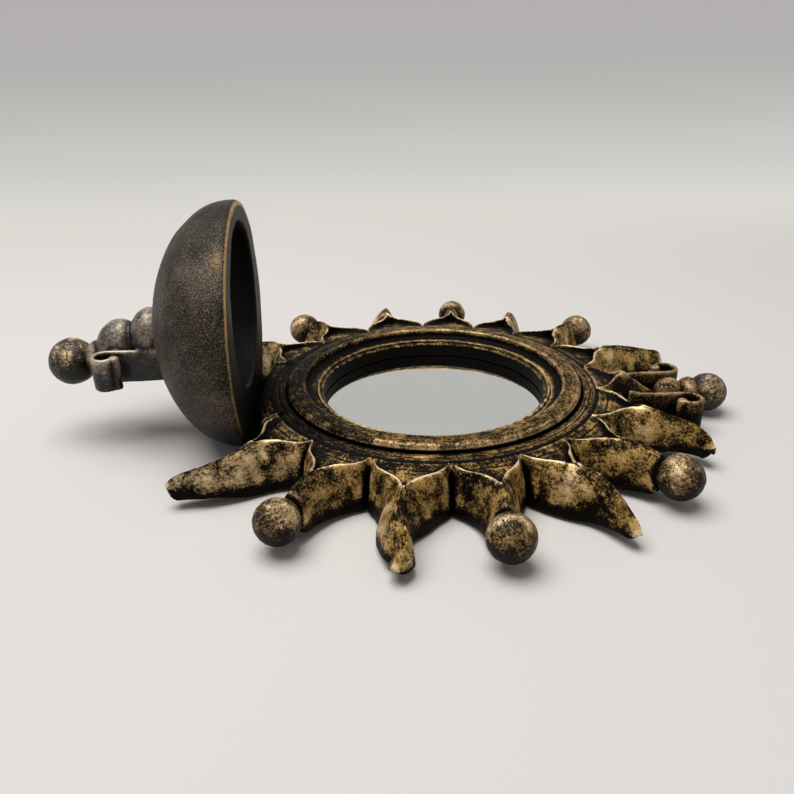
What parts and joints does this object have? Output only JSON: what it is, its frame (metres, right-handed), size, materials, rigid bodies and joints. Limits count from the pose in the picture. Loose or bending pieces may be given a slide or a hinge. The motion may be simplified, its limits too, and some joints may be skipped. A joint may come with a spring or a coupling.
{
  "type": "girandole mirror",
  "caption": "Small sunburst wall mirror with pointed and ball-tipped rays, a crest finial above and a half-round candle bowl with a pendant finial below the round glass.",
  "frame": {"origin": "middle of the back face, on the axis of the round mirror, where the back rests on the wall or table", "axes": "+X up the wall, from the bowl past the mirror to the crest finial; +Z straight out of the wall through the glass; +Y to the left when facing the mirror on the wall"},
  "size_m": [0.2339, 0.1852, 0.0792],
  "materials": {
    "frame_bronze": "cast resin painted near black and dry-brushed with worn antique gold",
    "bowl_bronze": "cast resin painted brown-black with fine stippled gold wear",
    "mirror_glass": "silvered flat glass",
    "felt_pad": "thin black felt",
    "hardboard": "brown pressed hardboard",
    "steel": "zinc-plated steel",
    "beech": "plain beech dowel"
  },
  "bodies": {
    "root": {"base_plate": "frame_bronze", "bezel_ring": "frame_bronze", "mirror_bead": "frame_bronze", "mirror_glass": "mirror_glass", "mirror_pad": "felt_pad", "backing_board": "hardboard", "back_cover": "hardboard", "cover_screw_1": "steel", "cover_screw_2": "steel", "cover_screw_3": "steel", "cover_screw_4": "steel", "wall_hanger": "steel", "hanger_screw_1": "steel", "hanger_screw_2": "steel", "pointed_ray_1": "frame_bronze", "pointed_ray_2": "frame_bronze", "pointed_ray_3": "frame_bronze", "pointed_ray_4": "frame_bronze", "pointed_ray_5": "frame_bronze", "pointed_ray_6": "frame_bronze", "pointed_ray_7": "frame_bronze", "pointed_ray_8": "frame_bronze", "ball_ray_1": "frame_bronze", "ball_ray_2": "frame_bronze", "ball_ray_3": "frame_bronze", "ball_ray_4": "frame_bronze", "ball_ray_5": "frame_bronze", "ball_ray_6": "frame_bronze", "ray_ball_1": "frame_bronze", "ray_ball_2": "frame_bronze", "ray_ball_3": "frame_bronze", "ray_ball_4": "frame_bronze", "ray_ball_5": "frame_bronze", "ray_ball_6": "frame_bronze", "crest_finial": "frame_bronze", "crest_ball": "frame_bronze", "bowl_seat": "frame_bronze", "candle_bowl": "bowl_bronze", "bowl_dowel_1": "beech", "bowl_dowel_2": "beech", "pendant_finial": "frame_bronze", "pendant_ball": "frame_bronze", "pendant_screw": "steel"}
  },
  "joints": []
}
